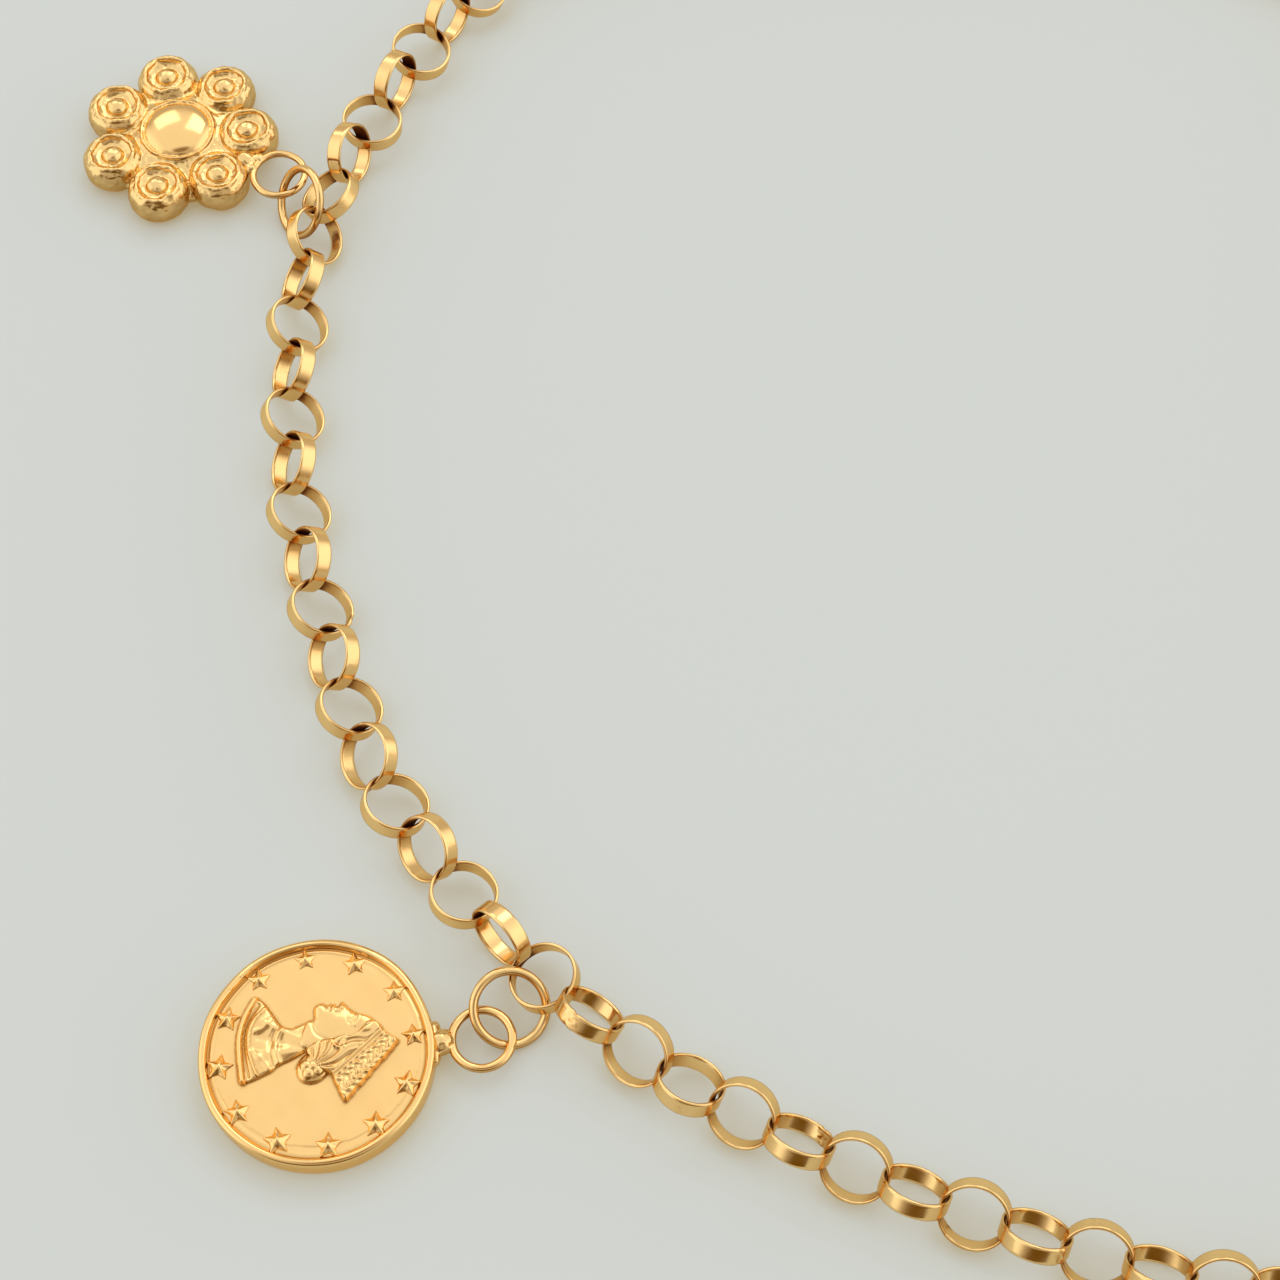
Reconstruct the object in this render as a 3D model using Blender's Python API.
"""Charm anklet: a whole loop of flat-strip belcher chain that lies on a table, with a coin charm and a flower charm on
jump rings and a spring-ring clasp. Metres, +Z up, origin at the middle of the footprint at table height."""

import math

import bmesh
import bpy
import numpy as np
from mathutils import Matrix, Vector

MM = 0.001

# Chain link: a flat strip bent to a round ring
LINK_OUTER_D = 3.62 * MM
LINK_STRIP_WIDTH = 0.92 * MM
LINK_STRIP_THICK = 0.18 * MM
LINK_SIDES = 10
LINK_WELD = 0.09 * MM
LINK_MEET_GAP = 0.36 * MM

# Coin charm
COIN_D = 12.0 * MM
COIN_THICK = 1.65 * MM
COIN_EDGE_ROUND = 0.25 * MM
COIN_RIM_WIDTH = 0.5 * MM
COIN_FIELD_DEPTH = 0.25 * MM
COIN_SIDES = 40
COIN_AT = Vector((-16.3, 40.5, 0.0)) * MM
STAR_COUNT = 12
STAR_D = 1.2 * MM
STAR_HEIGHT = 0.3 * MM
STAR_CIRCLE_R = 4.92 * MM
STAR_TURN = math.radians(10)
STAR_WAIST = 0.45
HEAD_HEIGHT = 3.7 * MM
HEAD_AT = Vector((1.3, 0.55, 0.0)) * MM
HEAD_TURN = math.radians(-102)
RELIEF_HEIGHT = 0.35 * MM
NECK_RELIEF = 0.7 * RELIEF_HEIGHT
CUT_RELIEF = 1.15 * RELIEF_HEIGHT
CROWN_RELIEF = 1.3 * RELIEF_HEIGHT
BUN_RELIEF = 0.85 * RELIEF_HEIGHT
COIN_RING_D = 3.55 * MM
COIN_RING_WIRE_D = 0.46 * MM
COIN_RING_TURN = math.radians(5.8)
COIN_SOLDER_D = 1.35 * MM
COIN_SOLDER_GAP = 0.55 * MM

# Flower charm
FLOWER_RING_AT = Vector((-21.69, 95.21, 0.0)) * MM
FLOWER_THICK = 2.1 * MM
PETAL_COUNT = 7
PETAL_CIRCLE_R = 4.2 * MM
PETAL_OVERLAP = 0.055 * MM
PETAL_D = 2 * PETAL_CIRCLE_R * math.sin(math.pi / PETAL_COUNT) + PETAL_OVERLAP
PETAL_TURN = math.radians(0.7)
PETAL_RIDGE_D = 2.1 * MM
PETAL_BEAD_D = 1.1 * MM
FLOWER_DOME_D = 4.2 * MM
FLOWER_BODY_D = 7.6 * MM
FLOWER_RING_D = 3.5 * MM
FLOWER_RING_WIRE_D = 0.41 * MM
FLOWER_RING_TURN = math.radians(-26.1)
FLOWER_RING_HEIGHT = 1.35 * MM
FLOWER_SOLDER_REACH = 1.49 * MM

# Jump rings
COIN_JUMP_D = 4.25 * MM
COIN_JUMP_WIRE_D = 0.48 * MM
COIN_JUMP_AT = Vector((-6.63, 42.92, 1.05)) * MM
COIN_JUMP_TILT = math.radians(25)
COIN_JUMP_TILT_TOWARDS = math.radians(-59)
FLOWER_JUMP_D = 4.4 * MM
FLOWER_JUMP_WIRE_D = 0.47 * MM
FLOWER_JUMP_AT = Vector((-20.2, 92.82, 1.84)) * MM
FLOWER_JUMP_TILT = math.radians(55)
FLOWER_JUMP_TILT_TOWARDS = math.radians(206)

# Clasp: spring ring and its eye
CLASP_D = 5.6 * MM
CLASP_WIRE_D = 0.85 * MM
CLASP_EYE_D = 3.5 * MM
CLASP_EYE_WIRE_D = 0.5 * MM
CLASP_RISE = 1.19 * MM
CLASP_SEAT_GAP = 0.62 * MM
CLASP_PLACE = 0.62

# Route of the chain on the table, in mm: away from the viewer is +Y
ROUTE = [
    (-10.2, 109.5), (-16.2, 99.4), (-19.3, 90.2), (-19.9, 81.3), (-19.1, 71.9), (-16.6, 62.6), (-14.8, 57.6),
    (-12.6, 53.5), (-6.9, 46.4), (0.1, 40.3), (8.1, 35.7), (16.5, 32.1), (24.9, 29.4), (32.0, 28.3), (38.0, 30.0),
    (42.4, 34.6), (44.1, 41.0), (45.0, 52.0), (45.9, 76.0), (46.0, 99.0), (43.0, 109.6), (35.0, 115.4), (22.0, 117.2),
    (8.0, 117.2), (-2.6, 115.0),
]
ROUTE_START = -0.1 * MM

# Lie of the links: link number from the top of the run beside the flower, lean of even and of odd links towards the
# left of the run in degrees, and spacing as a share of the taut pitch
LINK_LIE = [
    (-30, 45, 135, 1.0),
    (-4, 45, 135, 1.0),
    (1, 16, 84, 0.965),
    (4, 4, 84, 0.965),
    (6, -33, 64, 1.0),
    (8, -55, 32, 1.004),
    (14, -54, 27, 1.004),
    (18, -46, 26, 1.004),
    (21, -58, 12, 1.0),
    (22, -80, 4, 1.0),
    (24, -130, -20, 1.0),
    (25, -140, -45, 0.984),
    (26, -148, -48, 0.984),
    (28, -135, -45, 0.984),
    (60, -135, -45, 1.0),
]
# Links whose end along the run is lifted, in degrees
LINK_NOD = {23: 12}


def clear_scene():
    for old in list(bpy.data.objects):
        bpy.data.objects.remove(old, do_unlink=True)


def new_collection(name):
    made = bpy.data.collections.new(name)
    bpy.context.scene.collection.children.link(made)
    return made


def gold(name, colour, roughness):
    material = bpy.data.materials.new(name)
    material.use_nodes = True
    shader = material.node_tree.nodes["Principled BSDF"]
    shader.inputs["Base Color"].default_value = (*colour, 1.0)
    shader.inputs["Metallic"].default_value = 1.0
    shader.inputs["Roughness"].default_value = roughness
    return material


def put(name, mesh, home, material=None):
    """A mesh as an object of the anklet, or, with no material, as a hidden shape for a Boolean."""
    made = bpy.data.objects.new(name, mesh)
    home.objects.link(made)
    made.parent = bpy.data.objects["anklet_origin"]
    if material:
        mesh.materials.append(material)
        mesh.shade_smooth()
        mesh.set_sharp_from_angle(angle=math.radians(30))
    else:
        made.hide_render = True
        made.display_type = "WIRE"
    return made


def weld_on(target, other):
    joined = target.modifiers.new("with " + other.name, "BOOLEAN")
    joined.operation = "UNION"
    joined.solver = "EXACT"
    joined.object = other


def mesh_from(name, shape):
    bmesh.ops.recalc_face_normals(shape, faces=shape.faces)
    made = bpy.data.meshes.new(name)
    shape.to_mesh(made)
    shape.free()
    return made


def turned_mesh(name, profile, sides, place=None):
    """A closed turned body. The profile runs as (radius, height) from the axis at the bottom to the axis at the top."""
    shape = bmesh.new()
    points = [shape.verts.new((radius, 0, height)) for radius, height in profile]
    edges = [shape.edges.new(pair) for pair in zip(points, points[1:])]
    bmesh.ops.spin(
        shape, geom=points + edges, cent=(0, 0, 0), axis=(0, 0, 1), steps=sides, angle=math.tau, use_merge=True
    )
    bmesh.ops.remove_doubles(shape, verts=shape.verts, dist=1e-7)
    if place is not None:
        bmesh.ops.transform(shape, matrix=place, verts=shape.verts)
    return mesh_from(name, shape)


def torus_profile(major_r, wire_r, wire_sides):
    return [
        (major_r + wire_r * math.cos(turn), wire_r * math.sin(turn))
        for turn in (math.tau * k / wire_sides for k in range(wire_sides))
    ]


def add_ring(shape, profile, sides, first_turn, place):
    """A closed profile of (radius, height) spun to a ring and put at its place in a bmesh."""
    start = Matrix.Rotation(first_turn, 4, "Z")
    points = [shape.verts.new(start @ Vector((radius, 0, height))) for radius, height in profile]
    edges = [shape.edges.new(pair) for pair in zip(points, points[1:] + points[:1])]
    bmesh.ops.spin(
        shape, geom=points + edges, cent=(0, 0, 0), axis=(0, 0, 1), steps=sides, angle=math.tau, use_merge=True
    )
    reached, todo = set(points), list(points)
    while todo:
        for edge in todo.pop().link_edges:
            for vert in edge.verts:
                if vert not in reached:
                    reached.add(vert)
                    todo.append(vert)
    bmesh.ops.transform(shape, matrix=place, verts=list(reached))


def wire_ring_mesh(name, outer_d, wire_d, place, sides=16, wire_sides=6):
    shape = bmesh.new()
    add_ring(shape, torus_profile((outer_d - wire_d) / 2, wire_d / 2, wire_sides), sides, 0, place)
    return mesh_from(name, shape)


def smooth_loop(points, steps=40):
    """A closed Catmull-Rom curve through the points."""
    known = np.array(points)
    before, after, far = np.roll(known, 1, 0), np.roll(known, -1, 0), np.roll(known, -2, 0)
    t = (np.arange(steps) / steps)[None, :, None]
    a, b, c, d = (part[:, None, :] for part in (before, known, after, far))
    curve = 0.5 * (2 * b + (c - a) * t + (2 * a - 5 * b + 4 * c - d) * t**2 + (3 * b - a - 3 * c + d) * t**3)
    return curve.reshape(-1, 2)


def taut_pitch():
    inner_r = LINK_OUTER_D / 2 - LINK_STRIP_THICK
    return 2 * math.sqrt(inner_r**2 - (LINK_STRIP_WIDTH / 2) ** 2)


def lie_at(number, column):
    return np.interp(number, [row[0] for row in LINK_LIE], [row[column] for row in LINK_LIE])


class Route:
    """The chain's path on the table, read by distance along it."""

    def __init__(self):
        curve = smooth_loop(ROUTE) * MM
        self.curve = np.vstack([curve, curve[:1]])
        steps = np.linalg.norm(np.diff(self.curve, axis=0), axis=1)
        self.distance = np.concatenate([[0], np.cumsum(steps)])
        self.length = self.distance[-1]

    def point(self, along):
        along = along % self.length
        return Vector([*(np.interp(along, self.distance, self.curve[:, axis]) for axis in (0, 1)), 0])

    def heading(self, along):
        step = taut_pitch() / 4
        return (self.point(along + step) - self.point(along - step)).normalized()


def clasp_offsets():
    """Distances along the run, from the last link before the clasp: eye centre, ring centre and the next link."""
    reach = taut_pitch() / 2
    eye_r, eye_wire_r = (CLASP_EYE_D - CLASP_EYE_WIRE_D) / 2, CLASP_EYE_WIRE_D / 2
    ring_r, ring_wire_r = (CLASP_D - CLASP_WIRE_D) / 2, CLASP_WIRE_D / 2
    eye = reach - CLASP_SEAT_GAP + eye_r - eye_wire_r
    ring = eye + eye_r + ring_r
    return eye, ring, ring + ring_r - ring_wire_r - CLASP_SEAT_GAP + reach


def lay_links(route):
    """(number, distance along the route) of each link before the clasp and after it, and the eye's and ring's."""
    front = [(0, ROUTE_START)]
    while front[-1][1] < CLASP_PLACE * route.length:
        number, along = front[-1]
        front.append((number + 1, along + taut_pitch() * lie_at(number + 0.5, 3)))
    eye, ring, after = (front[-1][1] + offset for offset in clasp_offsets())
    meeting = taut_pitch() * lie_at(0.5, 3) - LINK_WELD - LINK_MEET_GAP
    last = route.length + ROUTE_START - meeting
    count = math.ceil((last - after) / taut_pitch())
    back = [(k - count - 1, after + (last - after) * k / count) for k in range(count + 1)]
    return front, back, eye, ring


def link_poses(route, links):
    """The frame of each link: X along the run, Z along its own axis, at a height where it rests on the table."""
    turns, heights = [], []
    for number, along in links:
        forward = route.heading(along)
        left = Vector((-forward.y, forward.x, 0))
        nod = Matrix.Rotation(-math.radians(LINK_NOD.get(number, 0)), 3, left)
        lean = math.radians(lie_at(number, 1 + number % 2))
        axis = nod @ (math.cos(lean) * Vector((0, 0, 1)) + math.sin(lean) * left)
        forward = nod @ forward
        turns.append(Matrix((forward, axis.cross(forward), axis)).transposed().to_4x4())
        flatness = min(1.0, abs(axis.z))
        heights.append(LINK_OUTER_D / 2 * math.sqrt(1 - flatness**2) + LINK_STRIP_WIDTH / 2 * flatness)
    poses = []
    for k, (number, along) in enumerate(links):
        beside = [heights[j] for j in (k - 1, k + 1) if 0 <= j < len(links)]
        height = max(heights[k], (heights[k] + sum(beside) / len(beside)) / 2)
        poses.append(Matrix.Translation(route.point(along) + Vector((0, 0, height))) @ turns[k])
    return poses


def link_spacings(links):
    along = np.array([distance for _, distance in links])
    between = np.diff(along)
    return np.minimum(np.append(between, between[-1]), np.insert(between, 0, between[0]))


def build_chain(name, route, links, home, helpers, material):
    """Interlocked links: the even and the odd ones are each loose rings, and one Boolean fuses them where they meet."""
    facet = math.pi / LINK_SIDES
    outer, half = LINK_OUTER_D / 2, LINK_STRIP_WIDTH / 2
    shapes = [bmesh.new(), bmesh.new()]
    for k, (pose, spacing) in enumerate(zip(link_poses(route, links), link_spacings(links))):
        inner = (spacing - LINK_WELD) / 2 / math.cos(facet)
        strip = [(inner, -half), (outer, -half), (outer, half), (inner, half)]
        add_ring(shapes[k % 2], strip, LINK_SIDES, facet, pose)
    chain = put(name, mesh_from(name, shapes[0]), home, material)
    weld_on(chain, put(name + "_between", mesh_from(name + "_between", shapes[1]), helpers))
    return chain


def star_mesh(name):
    """Twelve raised five-pointed stars on a circle, each with a peak in the middle."""
    shape = bmesh.new()
    foot = COIN_THICK - COIN_FIELD_DEPTH
    for k in range(STAR_COUNT):
        turn = STAR_TURN + math.tau * k / STAR_COUNT
        centre = Vector((math.cos(turn), math.sin(turn), 0)) * STAR_CIRCLE_R
        star = bmesh.new()
        corners = []
        for j in range(10):
            reach = STAR_D / 2 * (1.0 if j % 2 == 0 else STAR_WAIST)
            corner = Vector((math.cos(turn + math.tau * j / 10), math.sin(turn + math.tau * j / 10), 0)) * reach
            corners.append(star.verts.new(centre + corner + Vector((0, 0, foot - COIN_FIELD_DEPTH))))
        base = star.faces.new(corners)
        raised = bmesh.ops.extrude_face_region(star, geom=[base])["geom"]
        top = [vert for vert in raised if isinstance(vert, bmesh.types.BMVert)]
        bmesh.ops.translate(star, verts=top, vec=(0, 0, COIN_FIELD_DEPTH + STAR_HEIGHT / 3))
        cap = next(face for face in raised if isinstance(face, bmesh.types.BMFace))
        peak = bmesh.ops.poke(star, faces=[cap])["verts"]
        bmesh.ops.translate(star, verts=peak, vec=(0, 0, STAR_HEIGHT * 2 / 3))
        piece = mesh_from(name + "_one", star)
        shape.from_mesh(piece)
        bpy.data.meshes.remove(piece)
    return mesh_from(name, shape)


# The bust in a head's heights, seen from the side, facing -X with the chin at height 0 and the crown at 1
HEAD_OUTLINE = [
    (-0.36, 0.84), (-0.42, 0.72), (-0.43, 0.63), (-0.40, 0.56), (-0.47, 0.45), (-0.53, 0.37), (-0.44, 0.33),
    (-0.46, 0.27), (-0.43, 0.235), (-0.45, 0.19), (-0.41, 0.14), (-0.43, 0.07), (-0.38, 0.0), (-0.22, 0.02),
    (-0.16, -0.1), (0.22, -0.1), (0.26, 0.14), (0.42, 0.3), (0.48, 0.55), (0.42, 0.8), (0.2, 0.97), (-0.08, 1.0),
    (-0.26, 0.94),
]
NECK_OUTLINE = [
    (-0.16, 0.02), (-0.03, -0.2), (-0.02, -0.37), (-0.19, -0.58), (-0.3, -0.72), (-0.31, -0.85), (-0.05, -0.92),
    (0.24, -0.92), (0.54, -0.84), (0.87, -0.7), (0.69, -0.4), (0.53, -0.26), (0.42, -0.12), (0.27, 0.03), (0.2, 0.1),
]
CUT_OUTLINE = [
    (-0.31, -0.86), (-0.05, -0.93), (0.24, -0.93), (0.54, -0.85), (0.87, -0.71), (0.8, -0.54), (0.5, -0.66),
    (0.2, -0.75), (-0.05, -0.76), (-0.23, -0.7),
]
BUN_AT, BUN_D = (0.45, 0.21), 0.46
CROWN_CORNERS = [(-0.27, 0.97), (0.51, 0.46), (0.83, 0.76), (-0.14, 1.26)]


def on_coin(spot, height):
    """A point of the bust's drawing on the coin, in the coin's own frame."""
    turned = Matrix.Rotation(HEAD_TURN, 3, "Z") @ Vector((spot[0], spot[1] - 0.5, 0)) * HEAD_HEIGHT
    return HEAD_AT + turned + Vector((0, 0, height))


def plate_mesh(name, outline, rise):
    """A raised plate of the bust, narrower at its top, sunk into the coin's field."""
    shape = bmesh.new()
    field = COIN_THICK - COIN_FIELD_DEPTH
    base = shape.faces.new([shape.verts.new(on_coin(spot, field - COIN_FIELD_DEPTH)) for spot in outline])
    walls = bmesh.ops.extrude_face_region(shape, geom=[base])["geom"]
    lifted = [vert for vert in walls if isinstance(vert, bmesh.types.BMVert)]
    bmesh.ops.translate(shape, verts=lifted, vec=(0, 0, COIN_FIELD_DEPTH + rise / 2))
    cap = next(face for face in walls if isinstance(face, bmesh.types.BMFace))
    bmesh.ops.inset_region(shape, faces=[cap], thickness=rise * 0.6, depth=rise / 2, use_even_offset=True)
    return mesh_from(name, shape)


def bun_mesh(name):
    radius = BUN_D * HEAD_HEIGHT / 2
    centre = on_coin(BUN_AT, COIN_THICK - COIN_FIELD_DEPTH)
    place = Matrix.Translation(centre) @ Matrix.Diagonal((1, 1, BUN_RELIEF / radius, 1))
    shape = bmesh.new()
    bmesh.ops.create_uvsphere(shape, u_segments=12, v_segments=6, radius=radius, matrix=place)
    return mesh_from(name, shape)


def ball_mesh(name, centre, diameter):
    shape = bmesh.new()
    place = Matrix.Translation(centre)
    bmesh.ops.create_uvsphere(shape, u_segments=10, v_segments=6, radius=diameter / 2, matrix=place)
    return mesh_from(name, shape)


def build_coin(home, helpers, material):
    outer, field = COIN_D / 2, COIN_THICK - COIN_FIELD_DEPTH
    round_off = COIN_EDGE_ROUND
    profile = [
        (0, 0), (outer - round_off, 0), (outer, round_off), (outer, COIN_THICK - round_off),
        (outer - round_off, COIN_THICK), (outer - COIN_RIM_WIDTH, COIN_THICK - 0.2 * COIN_FIELD_DEPTH),
        (outer - COIN_RIM_WIDTH - COIN_FIELD_DEPTH / 2, field), (0, field),
    ]
    coin = put("coin_charm", turned_mesh("coin_charm", profile, COIN_SIDES), home, material)
    middle = COIN_THICK / 2
    outward = Vector((math.cos(COIN_RING_TURN), math.sin(COIN_RING_TURN), 0))
    ring_at = outward * (COIN_D / 2 + COIN_SOLDER_GAP + COIN_RING_D / 2) + Vector((0, 0, middle))
    ball_at = outward * (COIN_D / 2 + COIN_SOLDER_GAP / 2) + Vector((0, 0, middle))
    added = [
        star_mesh("coin_stars"),
        plate_mesh("coin_neck", NECK_OUTLINE, NECK_RELIEF),
        plate_mesh("coin_cut", CUT_OUTLINE, CUT_RELIEF),
        plate_mesh("coin_head", HEAD_OUTLINE, RELIEF_HEIGHT),
        plate_mesh("coin_crown", CROWN_CORNERS, CROWN_RELIEF),
        bun_mesh("coin_bun"),
        ball_mesh("coin_solder", ball_at, COIN_SOLDER_D),
        wire_ring_mesh("coin_ring", COIN_RING_D, COIN_RING_WIRE_D, Matrix.Translation(ring_at)),
    ]
    coin.location = COIN_AT
    for mesh in added:
        other = put(mesh.name, mesh, helpers)
        other.location = COIN_AT
        weld_on(coin, other)
    return coin


def petal_profile():
    """A puffed petal: flat foot, round side, a raised ridge, a moat and a bead in the middle."""
    high, radius = FLOWER_THICK, PETAL_D / 2
    ridge, bead = PETAL_RIDGE_D / 2, PETAL_BEAD_D / 2
    return [
        (0, 0), (0.55 * radius, 0), (0.88 * radius, 0.16 * high), (radius, 0.45 * high), (0.93 * radius, 0.75 * high),
        (ridge, 0.92 * high), ((ridge + bead) / 2, 0.8 * high), (bead, 0.8 * high), (0.55 * bead, 0.96 * high),
        (0, high),
    ]


def middle_profile():
    high, dome, body = FLOWER_THICK, FLOWER_DOME_D / 2, FLOWER_BODY_D / 2
    return [
        (0, 0), (0.85 * body, 0), (body, 0.3 * high), (body, 0.6 * high), (1.25 * dome, 0.8 * high),
        (1.08 * dome, 0.9 * high), (0.96 * dome, 0.82 * high), (0.6 * dome, 0.98 * high), (0, 1.06 * high),
    ]


def build_flower(home, helpers, material):
    outward = Vector((math.cos(FLOWER_RING_TURN), math.sin(FLOWER_RING_TURN), 0))
    middle = Vector((0, 0, FLOWER_RING_HEIGHT))
    notch = PETAL_CIRCLE_R * math.cos(math.pi / PETAL_COUNT)
    ring_reach = outward * (notch + FLOWER_SOLDER_REACH + FLOWER_RING_D / 2)
    flower_at = FLOWER_RING_AT - ring_reach
    flower = put("flower_charm", turned_mesh("flower_charm", middle_profile(), 16), home, material)
    flower.location = flower_at
    added = []
    for k in range(PETAL_COUNT):
        turn = PETAL_TURN + math.tau * k / PETAL_COUNT
        place = Matrix.Translation(Vector((math.cos(turn), math.sin(turn), 0)) * PETAL_CIRCLE_R)
        turned = place @ Matrix.Rotation(turn, 4, "Z")
        added.append(turned_mesh(f"flower_petal_{k + 1}", petal_profile(), 12, turned))
    ball_at = outward * (notch + 0.85 * FLOWER_SOLDER_REACH) + middle
    added.append(ball_mesh("flower_solder", ball_at, 0.9 * FLOWER_SOLDER_REACH))
    ring_place = Matrix.Translation(ring_reach + middle)
    added.append(wire_ring_mesh("flower_ring", FLOWER_RING_D, FLOWER_RING_WIRE_D, ring_place))
    for mesh in added:
        other = put(mesh.name, mesh, helpers)
        other.location = flower_at
        weld_on(flower, other)
    return flower


def tilted(centre, tilt, towards):
    """Place of a ring whose axis leans from +Z by tilt, towards a compass turn."""
    lean_about = Vector((-math.sin(towards), math.cos(towards), 0))
    return Matrix.Translation(centre) @ Matrix.Rotation(tilt, 4, lean_about)


def build_jump_rings(home, material):
    coin_place = tilted(COIN_JUMP_AT, COIN_JUMP_TILT, COIN_JUMP_TILT_TOWARDS)
    flower_place = tilted(FLOWER_JUMP_AT, FLOWER_JUMP_TILT, FLOWER_JUMP_TILT_TOWARDS)
    rings = [
        wire_ring_mesh("coin_jump_ring", COIN_JUMP_D, COIN_JUMP_WIRE_D, coin_place),
        wire_ring_mesh("flower_jump_ring", FLOWER_JUMP_D, FLOWER_JUMP_WIRE_D, flower_place),
    ]
    return [put(mesh.name, mesh, home, material) for mesh in rings]


def build_clasp(route, eye, ring, home, helpers, material):
    height = Vector((0, 0, CLASP_RISE + CLASP_WIRE_D / 2))
    ring_at = route.point(ring) + height
    back_to_eye = (route.point(eye) + height - ring_at).normalized()
    eye_r, ring_r = (CLASP_EYE_D - CLASP_EYE_WIRE_D) / 2, (CLASP_D - CLASP_WIRE_D) / 2
    eye_place = Matrix.Translation(ring_at + back_to_eye * (ring_r + eye_r))
    ring_mesh = wire_ring_mesh("clasp", CLASP_D, CLASP_WIRE_D, Matrix.Translation(ring_at))
    clasp = put("clasp", ring_mesh, home, material)
    eye_mesh = wire_ring_mesh("clasp_eye", CLASP_EYE_D, CLASP_EYE_WIRE_D, eye_place, 12)
    weld_on(clasp, put("clasp_eye", eye_mesh, helpers))
    return clasp


def stand_on_origin(pieces):
    """Moves the whole anklet so that its footprint is centred on the origin and it rests at height 0."""
    graph = bpy.context.evaluated_depsgraph_get()
    corners = []
    for piece in pieces:
        solid = piece.evaluated_get(graph)
        corners += [solid.matrix_world @ Vector(corner) for corner in solid.bound_box]
    low, high = np.min(corners, axis=0), np.max(corners, axis=0)
    middle = Vector((*((low + high) / 2)[:2], low[2]))
    bpy.data.objects["anklet_origin"].location -= middle


def main():
    clear_scene()
    home, helpers = new_collection("charm_anklet"), new_collection("helpers")
    origin = bpy.data.objects.new("anklet_origin", None)
    home.objects.link(origin)
    chain_gold = gold("chain_gold", (0.86, 0.56, 0.22), 0.2)
    charm_gold = gold("charm_gold", (0.9, 0.62, 0.25), 0.28)
    route = Route()
    front, back, eye, ring = lay_links(route)
    pieces = [
        build_chain("chain_front", route, front, home, helpers, chain_gold),
        build_chain("chain_back", route, back, home, helpers, chain_gold),
        build_coin(home, helpers, charm_gold),
        build_flower(home, helpers, charm_gold),
        *build_jump_rings(home, chain_gold),
        build_clasp(route, eye, ring, home, helpers, chain_gold),
    ]
    stand_on_origin(pieces)


main()
